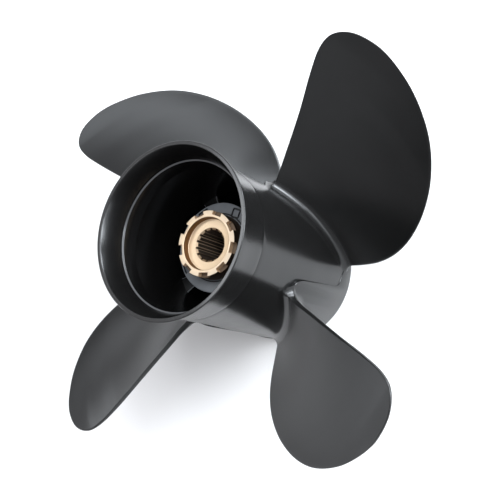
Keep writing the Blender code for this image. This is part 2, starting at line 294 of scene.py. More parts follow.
# %% [markdown]
# Near the hub each row widens along a quarter circle, which makes the fillet. Around the leading edge it
# widens outwards from the section. The trailing edge is cut flat and a little askew, and the casting has
# crisp mitred corners there, so each corner moves both sideways and along. The forward side starts from
# the raised front section and the aft side from the barrel, so the foot climbs across the flat cut, and
# a skirt below it reaches down into the barrel.

# %% One row of the blade
CORNER_REACH = 0.0011
CORNER_BLEND = 0.0006


def easy_step(value, low, high):
    share = np.clip((value - low) / (high - low), 0.0, 1.0)
    return share * share * (3.0 - 2.0 * share)


def widened(loop, gaps, sideways, from_trailing, widen):
    """Offsets a section for the fillet: rounded at its leading edge, mitred at its trailing edge."""
    ahead = np.roll(loop[:-1], -1, axis=0) - np.roll(loop[:-1], 1, axis=0)
    outward = np.stack([-ahead[:, 1], ahead[:, 0]], 1)
    outward /= np.maximum(np.linalg.norm(outward, axis=1, keepdims=True), 1e-9)
    outward = np.vstack([outward, outward[:1]])
    along = np.clip((CORNER_REACH - gaps) / CORNER_BLEND, 0, 1)
    half_way = 0.5 * loop[:, 0].max()
    aft_share = 1.0 - (1.0 - AFT_FILLET_SHARE) * (1.0 - easy_step(from_trailing, 0.2 * half_way, half_way))
    fore_share = 1.0 - (1.0 - FORE_CORNER_SHARE) * (1.0 - easy_step(from_trailing, 0.001, 0.016))
    mitred = np.stack([along, sideways * np.where(sideways > 0, aft_share, fore_share)], 1)
    return loop + widen * np.where((from_trailing < half_way)[:, None], mitred, outward)


def blade_row(rise, kind):
    """Points around the blade's section at one height above the barrel."""
    radius = min(ROOT_RADIUS + rise, TIP_RADIUS - 0.000002)
    helix = math.hypot(radius, PITCH / (2 * math.pi))
    leading = np.interp(radius, edge_radius[:tip_index + 1], edge_angle[:tip_index + 1])
    trailing = np.interp(radius, edge_radius[tip_index:][::-1], edge_angle[tip_index:][::-1])
    chord = (trailing - leading) * helix
    places = column_places(chord)
    shares = places / chord
    centres = surface_point(np.full_like(places, radius), leading + places / helix)
    gaps, nearest = nearest_on_line(centres, edge_3d)
    gaps[[0, -1]] = 0.0
    rounding = edge_rounding(gaps, edge_blunt[nearest])
    span = np.clip((radius - ROOT_RADIUS) / (TIP_RADIUS - ROOT_RADIUS), 0.0, 1.0)
    thin = 1000.0 * listed(THINNING, radius)
    half_edge = 0.5 * thin * (LEADING_THICKNESS
                              + (TRAILING_THICKNESS - LEADING_THICKNESS) * easy_step(shares, 0.1, 0.9))
    bulge = (ROOT_BULGE * (1 - span) ** 1.3 + TIP_BULGE) * (4 * shares * (1 - shares)) ** 0.9
    ahead_offset, behind_offset = listed(LEADING_OFFSETS, radius), listed(TRAILING_OFFSETS, radius)
    middle = ahead_offset + (behind_offset - ahead_offset) * shares ** 1.5
    driving = np.stack([places, middle + half_edge * rounding], 1)
    backing = np.stack([places, middle - (half_edge + bulge) * rounding], 1)
    loop = np.concatenate([driving, backing[::-1][1:]])
    both = np.concatenate([gaps, gaps[::-1][1:]])
    sideways = np.concatenate([rounding, -rounding[::-1][1:]])
    centre_line = np.concatenate([middle, middle[::-1][1:]])
    from_trailing = chord - loop[:, 0]
    if rise < FILLET:
        away = FILLET - max(rise, 0.0)
        widen = FILLET - math.sqrt(max(FILLET ** 2 - away ** 2, 0.0))
        loop = widened(loop, both, sideways, from_trailing, widen)
    skewed = 1.0 - easy_step(from_trailing, 0.001, 0.010)
    loop[:, 0] += TRAILING_SKEW * skewed * (loop[:, 1] - centre_line)
    if kind == "root":
        loop[len(places):, 0] = loop[:len(places) - 1, 0][::-1]
        loop[:, 1] = centre_line
    if kind == "tip":
        loop[:] = (chord / 2, centre_line[len(places) // 2])
    spread = leading + loop[:, 0] / helix
    placed = surface_point(np.full_like(spread, radius), spread)
    placed += surface_normal(np.full_like(spread, radius), spread) * loop[:, 1:2]
    ground = barrel_radius(placed[:, 2])
    if kind == "skin":
        ground += (np.maximum(FRONT_SECTION_RADIUS, ground) - ground) * 0.5 * (1.0 - sideways)
    fade = 0.5 + 0.5 * math.cos(math.pi * min(1.0, max(0.0, (rise - FILLET) / FOOT_FADE)))
    reach = np.hypot(placed[:, 0], placed[:, 1])
    placed[:, :2] *= (1.0 + fade * ((ground + radius - ROOT_RADIUS) / reach - 1.0))[:, None]
    placed[-1] = placed[0]
    return placed


print("points in one row:", len(blade_row(FILLET, "skin")))

# %% Wrap the grid into a blade
fresh_start()
rises = row_rises()
kinds = ["root", "skirt"] + ["skin"] * (len(rises) - 3) + ["tip"]
wrapped = np.array([blade_row(rise, kind) for rise, kind in zip(rises, kinds)])
row_count, column_count = wrapped.shape[:2]
bpy.ops.mesh.primitive_grid_add(x_subdivisions=column_count - 1, y_subdivisions=row_count - 1, size=1.0)
first_blade = bpy.context.object
first_blade.data.vertices.foreach_set("co", wrapped.astype(np.float32).ravel())
first_blade.data.update()
print("grid points:", len(first_blade.data.vertices), "wanted:", row_count * column_count)

# %% Close it and turn a copy for each blade
make_whole(first_blade)
shade(first_blade, 40.0)
for index in range(4):
    blade = copied(first_blade, BLADE_TURN + index * math.pi / 2)
    finish_piece(blade, "cast_blade_%d" % (index + 1), "black_paint", "blade_%d" % (index + 1))
bpy.data.objects.remove(first_blade, do_unlink=True)


# %% [markdown]
# ## The barrel and its flare ring
#
# Both are turned shapes, so one helper draws a closed profile ring by ring, and two more round the
# profile's corners with small arcs. The barrel is drawn from the seam down its outer side, and back up
# inside. The flare ring is a separate piece that spreads to a flat lip, which stands out a little over
# the cone below it. A small ledge inside is where it stops against the barrel. The ring starts a hair
# above the barrel, so the seam shows.

# %% Helpers for turned shapes
def turned(profile, sides):
    """Extrudes, moves and resizes a circle along a closed profile of radii and heights."""
    fresh_start()
    radius, height = profile[0]
    bpy.ops.mesh.primitive_circle_add(
        vertices=sides, radius=radius, fill_type="NOTHING", location=(0, 0, height))
    piece = bpy.context.object
    settle(piece)
    bpy.ops.object.mode_set(mode="EDIT")
    bpy.ops.mesh.select_all(action="SELECT")
    for next_radius, next_height in list(profile[1:]) + [profile[0]]:
        bpy.ops.mesh.extrude_region_move(TRANSFORM_OT_translate={"value": (0, 0, next_height - height)})
        grow = next_radius / radius
        bpy.ops.transform.resize(value=(grow, grow, 1.0), center_override=(0, 0, next_height))
        radius, height = next_radius, next_height
    bpy.ops.object.mode_set(mode="OBJECT")
    make_whole(piece)
    return piece


def rounded_corner(before, corner, after, radius, steps):
    """Points of a small arc that rounds one corner of a profile."""
    corner = np.array(corner, float)
    back = np.array(before, float) - corner
    ahead = np.array(after, float) - corner
    back /= np.linalg.norm(back)
    ahead /= np.linalg.norm(ahead)
    half = 0.5 * math.acos(max(-1.0, min(1.0, float(back @ ahead))))
    reach = radius / math.tan(half)
    centre = corner + (back + ahead) / np.linalg.norm(back + ahead) * radius / math.sin(half)
    start = corner + back * reach - centre
    end = corner + ahead * reach - centre
    points = []
    for step in range(steps + 1):
        share = step / steps
        spoke = start * (1.0 - share) + end * share
        points.append(tuple(centre + spoke / np.linalg.norm(spoke) * radius))
    return points


def round_profile(profile, corners):
    """Rounds the listed corners, given as {index: (radius, steps)}, of a closed profile."""
    result = []
    count = len(profile)
    for index, point in enumerate(profile):
        if index in corners:
            radius, steps = corners[index]
            result += rounded_corner(profile[index - 1], point, profile[(index + 1) % count], radius, steps)
        else:
            result.append(point)
    return result


print("points of a rounded square corner:", len(rounded_corner((0, 1), (0, 0), (1, 0), 0.1, 4)))

# %% Turn the barrel
ROUND_SIDES = 192
outside = [(float(barrel_radius(z)), z) for z in np.linspace(SEAM_HEIGHT - 0.0002, 0.0012, 36)]
inside = [(0.0566, 0.0), (0.0560, 0.0040), (0.0502, 0.0115), (0.0502, 0.0910), (0.0532, SEAM_HEIGHT)]
barrel_profile = ([(0.0563, SEAM_HEIGHT), (0.05647, SEAM_HEIGHT - 0.00003)] + outside
                  + [(0.0597, 0.0003), (0.0590, 0.0)] + inside)
bore_bends = {len(barrel_profile) - 4: (0.0030, 3), len(barrel_profile) - 3: (0.0040, 4),
              len(barrel_profile) - 2: (0.0500, 4)}
barrel = turned(round_profile(barrel_profile, bore_bends), ROUND_SIDES)
print("barrel rings:", len(barrel_profile))

# %% Turn the flare ring
RING_BOTTOM = 0.14065
LEDGE_HEIGHT = 0.1543
lip = [
    (0.0603, HUB_LENGTH), (0.0605, HUB_LENGTH), (0.0608, 0.1719), (RIM_RADIUS, 0.1716), (RIM_RADIUS, 0.1710),
    (0.0608, 0.1706), (0.0602, 0.1703),
]
cone = [
    (0.0599, 0.1699), (0.0598, 0.1692), (0.0596, 0.1676), (0.0592, 0.1648), (0.0586, 0.1610),
    (0.0579, 0.1560), (0.0573, 0.1505), (0.0568, 0.1450), (0.0565, 0.1408), (0.05647, RING_BOTTOM),
]
ledge = [
    (0.0530, RING_BOTTOM), (0.0526, 0.1470), (0.0523, 0.1536), (0.0524, 0.1541), (0.0527, LEDGE_HEIGHT),
    (0.0532, LEDGE_HEIGHT), (0.0535, 0.1546),
]
flare = [
    (0.0538, 0.1562), (0.0543, 0.1590), (0.0552, 0.1630), (0.0562, 0.1665), (0.0571, 0.1690),
    (0.0579, 0.1710), (0.0582, 0.1717), (0.0585, HUB_LENGTH), (0.0587, HUB_LENGTH),
]
ring = turned(lip + cone + ledge + flare, ROUND_SIDES)
shade(ring, 50.0)
finish_piece(ring, "flared_ring", "black_paint", "flare_ring")

# %% [markdown]
# ## The raised front section
#
# The casting is a little thicker in front of a stepped line that runs from one blade's trailing edge to
# the next blade's leading edge. One quarter of it is drawn flat, as an outline of angles and heights that
# is extruded to its thickness. Its rim is bevelled, it is cut into narrow strips so that it can bend, and
# then every point is wrapped around the shaft. The four quarters join into one ring.

# %% Outline of one quarter
FRONT_OUTLINE = (
    (-33.0, 0.0), (57.0, 0.0), (57.0, 11.4), (54.6, 13.7), (52.2, 15.8), (49.5, 17.5), (46.5, 18.5),
    (44.0, 19.1), (42.2, 19.8), (40.8, 20.9), (39.8, 22.8), (39.1, 25.6), (38.6, 29.5), (38.1, 36.0),
    (37.6, 44.0), (37.1, 53.0), (36.6, 61.0), (36.1, 68.0), (35.7, 74.0), (35.3, 79.0), (34.8, 82.6),
    (33.9, 85.6), (31.5, 88.6), (30.0, 89.1), (25.9, 89.3), (22.0, 86.0), (-33.0, 11.4),
)
FLANK_HEIGHT = 0.0114
FRONT_INSIDE = 0.0571
STRETCH = 0.0603
STRIP_ANGLE = 1.5


def front_quarter():
    fresh_start()
    bpy.ops.mesh.primitive_circle_add(vertices=len(FRONT_OUTLINE), radius=0.05, fill_type="NGON")
    piece = bpy.context.object
    for vertex, (angle, height) in zip(piece.data.vertices, FRONT_OUTLINE):
        vertex.co = (math.radians(angle) * STRETCH, height * 0.001, 0.0)
    bpy.ops.object.mode_set(mode="EDIT")
    bpy.ops.mesh.select_all(action="SELECT")
    bpy.ops.mesh.extrude_region_move(TRANSFORM_OT_translate={"value": (0, 0, STRETCH - FRONT_INSIDE)})
    bpy.ops.mesh.select_all(action="SELECT")
    bpy.ops.mesh.normals_make_consistent(inside=False)
    bpy.ops.object.mode_set(mode="OBJECT")
    return piece


quarter = front_quarter()
print("quarter outline:", len(FRONT_OUTLINE), "points, faces:", len(quarter.data.polygons))


# %% Bevel its rim, cut it into strips and wrap it
def pick_edges(piece, wanted):
    """Selects the edges whose two ends pass the test together."""
    work_on(piece)
    bpy.ops.object.mode_set(mode="EDIT")
    bpy.ops.mesh.select_mode(type="EDGE")
    bpy.ops.mesh.select_all(action="DESELECT")
    bpy.ops.object.mode_set(mode="OBJECT")
    points = piece.data.vertices
    for edge in piece.data.edges:
        edge.select = wanted(points[edge.vertices[0]].co, points[edge.vertices[1]].co)
    bpy.ops.object.mode_set(mode="EDIT")


def on_open_rim(a, b):
    top = min(a.z, b.z) > 0.001
    joint = abs(a.x - b.x) < 0.00001 and max(a.y, b.y) < FLANK_HEIGHT + 0.0001
    under_blade = min(a.x, b.x) < math.radians(20) * STRETCH and max(a.y, b.y) > 0.0001
    at_leading_root = max(a.x, b.x) > math.radians(56) * STRETCH and max(a.y, b.y) > 0.0001
    return top and not joint and not under_blade and not at_leading_root


pick_edges(quarter, on_open_rim)
bpy.ops.mesh.bevel(offset=0.0009, segments=4, profile=0.5)
first_cut = math.radians(-33.0) * STRETCH
for cut in range(1, int(90 / STRIP_ANGLE)):
    bpy.ops.mesh.select_all(action="SELECT")
    cut_at = first_cut + math.radians(STRIP_ANGLE * cut) * STRETCH
    bpy.ops.mesh.bisect(plane_co=(cut_at, 0, 0), plane_no=(1, 0, 0))
bpy.ops.object.mode_set(mode="OBJECT")
for vertex in quarter.data.vertices:
    angle = vertex.co.x / STRETCH + BLADE_TURN
    radius = FRONT_INSIDE + vertex.co.z
    vertex.co = (radius * math.cos(angle), radius * math.sin(angle), vertex.co.y)
print("wrapped quarter:", len(quarter.data.polygons), "faces")


# %% [markdown]
# The faces where two quarters meet are deleted first, so that nothing is left inside the joined ring. A
# boolean then welds the ring to the barrel. Booleans are kept for such places, where two closed shapes
# really cross.

# %% Join the four quarters
def is_quarter_end(face, points):
    across = [math.atan2(points[v].co.y, points[v].co.x) for v in face.vertices]
    low = max(points[v].co.z for v in face.vertices) < FLANK_HEIGHT + 0.0002
    return low and max(across) - min(across) < 0.0005


def joined(pieces):
    fresh_start()
    for piece in pieces:
        piece.select_set(True)
    bpy.context.view_layer.objects.active = pieces[0]
    bpy.ops.object.join()
    return pieces[0]


def apply_modifiers(piece):
    work_on(piece)
    for modifier in list(piece.modifiers):
        bpy.ops.object.modifier_apply(modifier=modifier.name)


def combine(piece, other, operation):
    """Cuts the other solid out of the piece, or adds it, and removes the other."""
    step = piece.modifiers.new("combine", "BOOLEAN")
    step.operation = operation
    step.solver = "EXACT"
    step.object = other
    apply_modifiers(piece)
    bpy.data.objects.remove(other, do_unlink=True)


work_on(quarter)
bpy.ops.object.mode_set(mode="EDIT")
bpy.ops.mesh.select_mode(type="FACE")
bpy.ops.mesh.select_all(action="DESELECT")
bpy.ops.object.mode_set(mode="OBJECT")
for face in quarter.data.polygons:
    face.select = is_quarter_end(face, quarter.data.vertices)
print("quarter ends:", sum(face.select for face in quarter.data.polygons))
bpy.ops.object.mode_set(mode="EDIT")
bpy.ops.mesh.delete(type="FACE")
bpy.ops.object.mode_set(mode="OBJECT")
joined([quarter] + [copied(quarter, index * math.pi / 2) for index in range(1, 4)])
make_whole(quarter, 0.00002)
combine(barrel, quarter, "UNION")
make_whole(barrel)
shade(barrel, 40.0)
finish_piece(barrel, "cast_barrel", "black_paint", "hub_barrel")

# %% [markdown]
# ## The inner hub and its ribs
#
# The exhaust runs between the barrel and an inner hub, which four ribs hold. The inner hub is a turned
# tube with a square socket for the bush, cut with a block whose long edges are bevelled. Each rib is a
# wedge: a block whose sides are spread apart towards the barrel, as a casting needs, and whose rear edge
# is a little rounded.

# %% Turn the inner hub and cut its square socket
HUB_TUBE_RADIUS = 0.0325
HUB_TUBE_BORE = 0.0150
HUB_TUBE_BOTTOM = 0.0060
HUB_TUBE_TOP = 0.1070
SOCKET_HALF_WIDTH = 0.0205
SOCKET_CORNER = 0.0040
SOCKET_TURN = math.radians(93.0)


def plain_block(centre, size):
    fresh_start()
    bpy.ops.mesh.primitive_cube_add(size=1.0, location=centre)
    block = bpy.context.object
    block.scale = size
    settle(block)
    return block


def bevel_edges(piece, wanted, width, segments):
    pick_edges(piece, wanted)
    bpy.ops.mesh.bevel(offset=width, segments=segments)
    bpy.ops.object.mode_set(mode="OBJECT")


def turn_piece(piece, turn):
    piece.rotation_euler = (0, 0, turn)
    settle(piece)


def square_block(half_width, corner, bottom, top):
    """A square block along the shaft with rounded long edges."""
    block = plain_block((0, 0, (bottom + top) / 2), (2 * half_width, 2 * half_width, top - bottom))
    bevel_edges(block, lambda a, b: abs(a.z - b.z) > 0.001, corner, 6)
    turn_piece(block, SOCKET_TURN)
    return block


tube_profile = [
    (HUB_TUBE_BORE, HUB_TUBE_TOP), (HUB_TUBE_RADIUS, HUB_TUBE_TOP),
    (HUB_TUBE_RADIUS, HUB_TUBE_BOTTOM), (HUB_TUBE_BORE, HUB_TUBE_BOTTOM),
]
tube = turned(round_profile(tube_profile, {1: (0.0012, 4), 2: (0.0010, 3)}), 120)
combine(tube, square_block(SOCKET_HALF_WIDTH, SOCKET_CORNER, -0.010, 0.120), "DIFFERENCE")
make_whole(tube)
shade(tube)
finish_piece(tube, "inner_tube", "black_paint", "inner_hub")

# %% Ribs that widen towards the barrel
RIB_BOTTOM = 0.0120
RIB_TOP = 0.0905
RIB_MIDDLE = 0.0410
RIB_LENGTH = 0.0214
RIB_CUTS = (0.0340, 0.0360, 0.0400, 0.0460, 0.0480, 0.0490, 0.0497)
RIB_TURN = math.radians(48.0)
RIB_SPREAD = math.tan(math.radians(7.4))
FOOT_START = 0.0480
FOOT_REACH = 0.0037
FOOT_WIDTH = 0.0013
for index in range(4):
    rib = plain_block((RIB_MIDDLE, 0, (RIB_BOTTOM + RIB_TOP) / 2), (RIB_LENGTH, 2.0, RIB_TOP - RIB_BOTTOM))
    bpy.ops.object.mode_set(mode="EDIT")
    for cut_at in RIB_CUTS:
        bpy.ops.mesh.select_all(action="SELECT")
        bpy.ops.mesh.bisect(plane_co=(cut_at, 0, 0), plane_no=(1, 0, 0))
    bpy.ops.object.mode_set(mode="OBJECT")
    for vertex in rib.data.vertices:
        foot = FOOT_WIDTH * max(0.0, (vertex.co.x - FOOT_START) / FOOT_REACH) ** 2
        vertex.co.y *= vertex.co.x * RIB_SPREAD + foot
    bevel_edges(rib, lambda a, b: min(a.z, b.z) > RIB_TOP - 0.0005 and abs(a.x - b.x) > 0.0001, 0.0009, 3)
    turn_piece(rib, RIB_TURN + index * math.pi / 2)
    make_whole(rib)
    shade(rib)
    finish_piece(rib, "cast_rib_%d" % (index + 1), "black_paint", "rib_%d" % (index + 1))

# %% [markdown]
# ## The grey bush
#
# A moulded bush sits between the housing and the brass sleeve. It has a square body in the socket and a
# round flange behind it. The flange shows a fine ring line, four small notches and the outline of one
# blank field. The flange is turned, and the body is the same block as the socket, a little smaller.

# %% Turn the bush's flange and add its square body
FLANGE_RADIUS = 0.0340
FLANGE_TOP = 0.1120
FLANGE_BOTTOM = 0.1073
BUSH_BORE = 0.0179
BUSH_WALL = 0.0190
BUSH_BOTTOM = 0.0050
BODY_HALF_WIDTH = 0.0202
BODY_CORNER = 0.0037
flange_profile = [
    (BUSH_BORE, FLANGE_TOP), (0.0249, FLANGE_TOP), (0.0251, FLANGE_TOP - 0.0004),
    (0.0255, FLANGE_TOP - 0.0005), (0.0259, FLANGE_TOP - 0.0004), (0.0261, FLANGE_TOP),
    (FLANGE_RADIUS, FLANGE_TOP), (FLANGE_RADIUS, FLANGE_BOTTOM), (BUSH_WALL, FLANGE_BOTTOM),
    (BUSH_WALL, BUSH_BOTTOM), (BUSH_BORE, BUSH_BOTTOM),
]
bush = turned(round_profile(flange_profile, {6: (0.0010, 4), 7: (0.0006, 2)}), 144)
body = square_block(BODY_HALF_WIDTH, BODY_CORNER, 0.0065, FLANGE_BOTTOM + 0.0010)
fresh_start()
bpy.ops.mesh.primitive_cylinder_add(vertices=144, radius=0.0184, depth=0.2, location=(0, 0, 0.05))
core = bpy.context.object
settle(core)
combine(body, core, "DIFFERENCE")
combine(bush, body, "UNION")
print("bush flange:", 2 * FLANGE_RADIUS)

# %% Cut its notches and the blank field's outline
NOTCH_RADIUS = 0.0309
NOTCH_SIZE = (0.0032, 0.0092, 0.0040)
FIRST_NOTCH = 136.5
FIELD_CENTRE = (0.00635, 0.0279)
FIELD_SIZE = (0.0076, 0.0078)
FIELD_LINE = 0.0015
FIELD_DEPTH = 0.0009


def cut_notches(piece):
    for index in range(4):
        notch = plain_block((NOTCH_RADIUS, 0, FLANGE_TOP), NOTCH_SIZE)
        bevel_edges(notch, lambda a, b: abs(a.z - b.z) > 0.001, 0.0006, 2)
        turn_piece(notch, math.radians(FIRST_NOTCH + 90 * index))
        combine(piece, notch, "DIFFERENCE")


def cut_field_outline(piece):
    """Cuts a shallow frame around the blank field. Its corners are rounder than its line is wide."""
    fresh_start()
    bpy.ops.mesh.primitive_plane_add(size=1.0, location=(*FIELD_CENTRE, FLANGE_TOP - FIELD_DEPTH))
    outline = bpy.context.object
    outline.scale = (*FIELD_SIZE, 1.0)
    settle(outline)
    bpy.ops.object.mode_set(mode="EDIT")
    bpy.ops.mesh.select_mode(type="VERT")
    bpy.ops.mesh.select_all(action="SELECT")
    bpy.ops.mesh.bevel(offset=FIELD_LINE + 0.0003, segments=4, affect="VERTICES")
    bpy.ops.mesh.select_mode(type="FACE")
    bpy.ops.mesh.select_all(action="SELECT")
    bpy.ops.mesh.inset(thickness=FIELD_LINE)
    bpy.ops.mesh.delete(type="FACE")
    bpy.ops.mesh.select_all(action="SELECT")
    bpy.ops.mesh.extrude_region_move(TRANSFORM_OT_translate={"value": (0, 0, 0.002)})
    bpy.ops.mesh.select_all(action="SELECT")
    bpy.ops.mesh.normals_make_consistent(inside=False)
    bpy.ops.object.mode_set(mode="OBJECT")
    combine(piece, outline, "DIFFERENCE")


cut_notches(bush)
cut_field_outline(bush)
make_whole(bush)
shade(bush)
finish_piece(bush, "grey_bush", "grey_bush", "bush")

# %% [markdown]
# ## The brass sleeve
#
# The sleeve is turned brass: a castellated head around a sunk face, and a splined bore. The turned body
# is drawn ring by ring, and the slots and the spline grooves are cut out of it. Each cutter is one block
# that is copied around the shaft, so all cuts of a kind are alike.

# %% Turn the sleeve
SLEEVE_TOP = 0.1265
SLEEVE_BOTTOM = 0.0030
SLEEVE_RADIUS = 0.0175
RECESS_FLOOR = 0.1209
HEAD_RADIUS = 0.0244
HEAD_BOTTOM = FLANGE_TOP + 0.0003
RECESS_RADIUS = 0.0194
BORE_TIP_RADIUS = 0.0112
BORE_ROOT_RADIUS = 0.0126
BORE_EDGE_RADIUS = 0.0128
sleeve_profile = [
    (RECESS_RADIUS, RECESS_FLOOR), (RECESS_RADIUS, SLEEVE_TOP), (HEAD_RADIUS, SLEEVE_TOP),
    (HEAD_RADIUS, HEAD_BOTTOM), (SLEEVE_RADIUS, HEAD_BOTTOM), (SLEEVE_RADIUS, SLEEVE_BOTTOM),
    (BORE_TIP_RADIUS, SLEEVE_BOTTOM), (BORE_TIP_RADIUS, RECESS_FLOOR - 0.0015),
    (BORE_EDGE_RADIUS, RECESS_FLOOR),
]
sleeve_corners = {0: (0.0005, 3), 1: (0.0004, 3), 2: (0.0005, 3), 5: (0.0005, 2), 6: (0.0006, 2)}
sleeve = turned(round_profile(sleeve_profile, sleeve_corners), 240)
print("sleeve head:", 2 * HEAD_RADIUS, "bore:", 2 * BORE_TIP_RADIUS)

# %% Cut the slots and the spline
SLOT_COUNT = 9
FIRST_SLOT = 48.0
SLOT_DEPTH = 0.0040
SPLINE_COUNT = 15
FIRST_GROOVE = 13.7


def block_cutter(count, first, inner, outer, width, bottom, top, is_rounded, rounding):
    """Blocks around the shaft, as one object, with the chosen edges rounded by a share of the width."""
    block = plain_block(((inner + outer) / 2, 0, (bottom + top) / 2), (outer - inner, width, top - bottom))
    bevel_edges(block, is_rounded, width * rounding, 3)
    twins = [copied(block, math.radians(first + 360.0 * index / count)) for index in range(1, count)]
    turn_piece(block, math.radians(first))
    return joined([block] + twins)


def is_slot_floor_edge(a, b):
    return max(a.z, b.z) < SLEEVE_TOP - 0.0035 and abs(a.x - b.x) > 0.002


def is_groove_root_edge(a, b):
    return abs(a.z - b.z) > 0.05 and min(a.x, b.x) > 0.0100


slots = block_cutter(
    count=SLOT_COUNT, first=FIRST_SLOT, inner=0.0212, outer=0.0300, width=0.0079,
    bottom=SLEEVE_TOP - SLOT_DEPTH, top=SLEEVE_TOP + 0.004, is_rounded=is_slot_floor_edge, rounding=0.12)
combine(sleeve, slots, "DIFFERENCE")
grooves = block_cutter(
    count=SPLINE_COUNT, first=FIRST_GROOVE, inner=0.0090, outer=BORE_ROOT_RADIUS, width=0.0017,
    bottom=-0.010, top=0.140, is_rounded=is_groove_root_edge, rounding=0.40)
combine(sleeve, grooves, "DIFFERENCE")
make_whole(sleeve)
fine_edge = sleeve.modifiers.new("fine edge", "BEVEL")
fine_edge.width = 0.00022
fine_edge.segments = 2
fine_edge.limit_method = "ANGLE"
fine_edge.angle_limit = math.radians(50)
fine_edge.use_clamp_overlap = True
apply_modifiers(sleeve)
shade(sleeve)
finish_piece(sleeve, "brass_sleeve", "brass", "splined_sleeve")


# %% [markdown]
# ## Paint, brass and plastic
#
# Materials are written as short expressions. One small class wraps a socket and adds the maths nodes, and
# one method adds every other node. Patterns read Object coordinates, so they stay on the piece.

# %% A small language for node materials
class Socket:
    def __init__(self, maker, link):
        self.maker = maker
        self.link = link

    def maths(self, operation, first, second=None, clamp=False):
        given = {0: first} if second is None else {0: first, 1: second}
        return self.maker.node("ShaderNodeMath", {"operation": operation, "use_clamp": clamp}, given, 0)

    def __add__(self, other):
        return self.maths("ADD", self, other)

    def __radd__(self, other):
        return self.maths("ADD", other, self)

    def __sub__(self, other):
        return self.maths("SUBTRACT", self, other)

    def __rsub__(self, other):
        return self.maths("SUBTRACT", other, self)

    def __mul__(self, other):
        return self.maths("MULTIPLY", self, other)

    def __rmul__(self, other):
        return self.maths("MULTIPLY", other, self)

    def __pow__(self, other):
        return self.maths("POWER", self, other)

    def __abs__(self):
        return self.maths("ABSOLUTE", self)

    def ramp(self, low, high):
        """Zero below low, one above high, straight between."""
        return self.maths("MULTIPLY", self - low, 1.0 / (high - low), clamp=True)

    def band(self, start, full, fading, gone):
        """Rises from start to full, and falls again from fading to gone."""
        return self.ramp(start, full) * (1.0 - self.ramp(fading, gone))


class Finish:
    def __init__(self, name):
        self.material = bpy.data.materials.new(name)
        self.material.use_nodes = True
        self.tree = self.material.node_tree
        self.tree.nodes.clear()
        self.output = self.tree.nodes.new("ShaderNodeOutputMaterial")
        self.place = self.node("ShaderNodeTexCoord", {}, {}, "Object")

    def node(self, kind, settings, given, out=0):
        made = self.tree.nodes.new(kind)
        for key, value in settings.items():
            setattr(made, key, value)
        for key, value in given.items():
            if isinstance(value, Socket):
                self.tree.links.new(value.link, made.inputs[key])
            elif isinstance(value, tuple) and len(value) == 3 and len(made.inputs[key].default_value) == 4:
                made.inputs[key].default_value = (*value, 1.0)
            else:
                made.inputs[key].default_value = value
        return Socket(self, made.outputs[out])

    def noise(self, scale, detail, roughness=0.55):
        return self.node("ShaderNodeTexNoise", {}, {
            "Vector": self.place, "Scale": scale, "Detail": detail, "Roughness": roughness}, "Fac")

    def parts(self, vector):
        split = self.node("ShaderNodeSeparateXYZ", {}, {"Vector": vector}).link.node
        return [Socket(self, output) for output in split.outputs]

    def facing_aft(self):
        """One where the surface faces the exhaust end, zero where it faces sideways."""
        normal = self.place.link.node.outputs["Normal"]
        return self.parts(Socket(self, normal))[2]

    def mix(self, share, first, second):
        return self.node("ShaderNodeMix", {"data_type": "RGBA"}, {0: share, 6: first, 7: second}, 2)

    def bump(self, height, strength, distance):
        return self.node("ShaderNodeBump", {}, {"Height": height, "Strength": strength, "Distance": distance})

    def close(self, **values):
        shader = self.node("ShaderNodeBsdfPrincipled", {}, {
            key.replace("_", " "): value for key, value in values.items()})
        self.tree.links.new(shader.link, self.output.inputs["Surface"])
        return self.material


def from_shaft(x, y):
    return (x * x + y * y) ** 0.5


print("material language ready")


# %% [markdown]
# The paint is a satin black over cast aluminium. Its grain is the orange peel of sprayed paint: a fine
# noise that moves the surface by a few hundredths of a millimetre, and lets the gloss wander a little. The
# blades are duller than the turned barrel. The flat top of the lip and the ledge inside are glossier, as
# edges that hands and cloths rub. The edges of the ribs' ends are painted pale, and the ledge a little, as
# painted highlights.

# %% Satin black paint
def black_paint():
    finish = Finish("satin_black_paint")
    cloud = finish.noise(28.0, 3.0)
    grain = finish.noise(1500.0, 2.0, 0.6)
    peel = finish.noise(420.0, 2.0, 0.5)
    tone = (cloud * 0.7 + grain * 0.3).ramp(0.30, 0.72)
    colour = finish.mix(tone, (0.003, 0.003, 0.003), (0.006, 0.006, 0.006))
    x, y, height = finish.parts(finish.place)
    facing = finish.facing_aft()
    radius = from_shaft(x, y)
    blade = radius.ramp(0.0600, 0.0680)
    roughness = 0.18 + blade * 0.08 + cloud * 0.05 + grain * 0.05
    lip_top = height.ramp(HUB_LENGTH - 0.0004, HUB_LENGTH - 0.0001) * facing.ramp(0.80, 0.98)
    at_ledge = height.band(LEDGE_HEIGHT - 0.0004, LEDGE_HEIGHT - 0.0001,
                           LEDGE_HEIGHT + 0.0002, LEDGE_HEIGHT + 0.0005)
    at_ledge *= 1.0 - radius.ramp(0.0540, 0.0542)
    rib_end = height.band(RIB_TOP - 0.0011, RIB_TOP - 0.0008, RIB_TOP + 0.0001, RIB_TOP + 0.0003)
    edge = facing.band(0.10, 0.30, 0.90, 0.98)
    # Painted highlights: the rounded rear edges of the ribs' ends, and the ledge more faintly, are painted
    # pale grey.
    painted_edge_highlight = rib_end * edge * radius.band(0.0360, 0.0363, 0.0500, 0.0502)
    colour = finish.mix((painted_edge_highlight + at_ledge * 0.35).ramp(0.0, 1.0), colour, (0.16, 0.165, 0.175))
    relief = grain * 0.5 + peel * 0.5
    return finish.close(
        Base_Color=colour, Roughness=roughness, Coat_Weight=lip_top + at_ledge * 0.4, Coat_Roughness=0.12,
        Normal=finish.bump(relief, 0.35, 0.00010), IOR=1.42, Specular_Tint=(0.96, 0.98, 1.0))


paint = black_paint()
print(paint.name, "has", len(paint.node_tree.nodes), "nodes")
